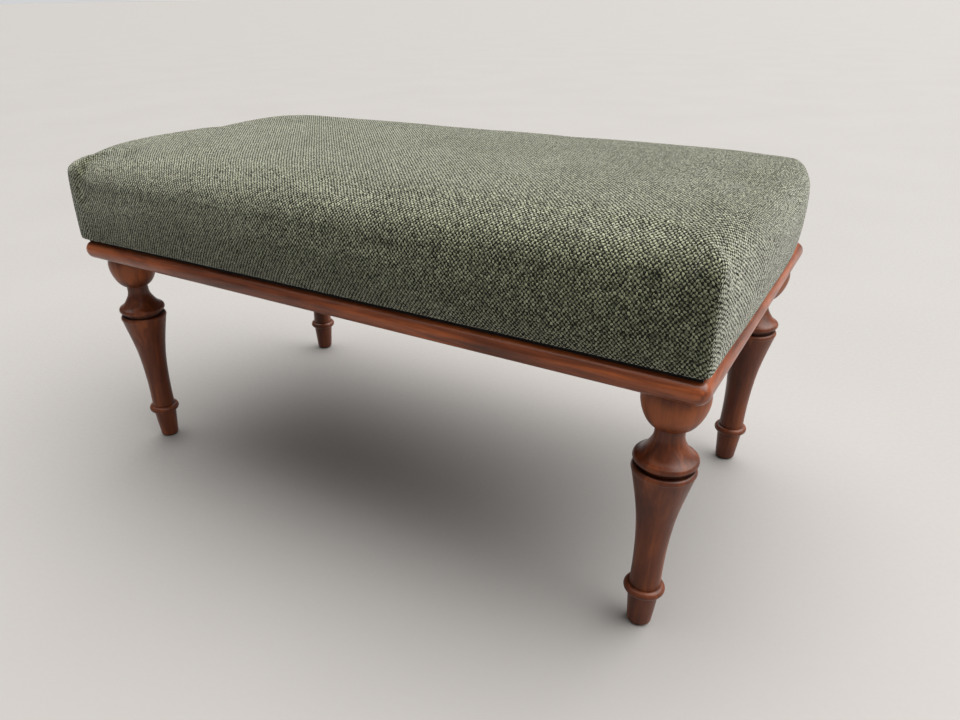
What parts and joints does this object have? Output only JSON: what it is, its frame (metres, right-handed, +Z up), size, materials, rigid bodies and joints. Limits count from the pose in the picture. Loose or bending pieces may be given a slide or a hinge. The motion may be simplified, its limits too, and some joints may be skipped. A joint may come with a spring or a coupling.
{
  "type": "upholstered bench",
  "caption": "Long upholstered bench or footstool: crowned tweed seat pad on a rounded wooden frame with turned wooden legs.",
  "frame": {"origin": "on the floor under the middle of the bench", "axes": "+X along the length, +Y from front to back, +Z up"},
  "size_m": [0.81, 0.464, 0.412],
  "materials": {
    "turned_wood": "dark red-brown stained hardwood, satin lacquer",
    "frame_wood": "orange-brown stained hardwood, satin lacquer",
    "block_wood": "planed softwood, unfinished",
    "plywood": "birch plywood, unfinished",
    "gap_strip": "black, dull",
    "cover_fabric": "sage green and black basket-weave tweed",
    "wadding": "white polyester wadding",
    "foam": "upholstery foam",
    "dust_cloth": "black spun-bonded cloth",
    "glide_nylon": "dark nylon",
    "brass": "plain",
    "steel": "zinc plated"
  },
  "bodies": {
    "root": {"corner_block_back_left": "block_wood", "corner_block_back_right": "block_wood", "corner_block_front_left": "block_wood", "corner_block_front_right": "block_wood", "corner_block_screws": "steel", "cover_staples": "steel", "dust_cover": "dust_cloth", "dust_cover_staples": "steel", "fabric_cover": "cover_fabric", "foam_block": "foam", "foot_glides": "glide_nylon", "gap_strip_back": "gap_strip", "gap_strip_front": "gap_strip", "gap_strip_left": "gap_strip", "gap_strip_right": "gap_strip", "leg_back_left": "turned_wood", "leg_back_right": "turned_wood", "leg_bolts": "steel", "leg_front_left": "turned_wood", "leg_front_right": "turned_wood", "leg_inserts": "brass", "mitre_splines": "plywood", "pad_screws": "steel", "rail_back": "frame_wood", "rail_front": "frame_wood", "rail_left": "frame_wood", "rail_right": "frame_wood", "seat_board": "plywood", "wadding": "wadding"}
  },
  "joints": []
}
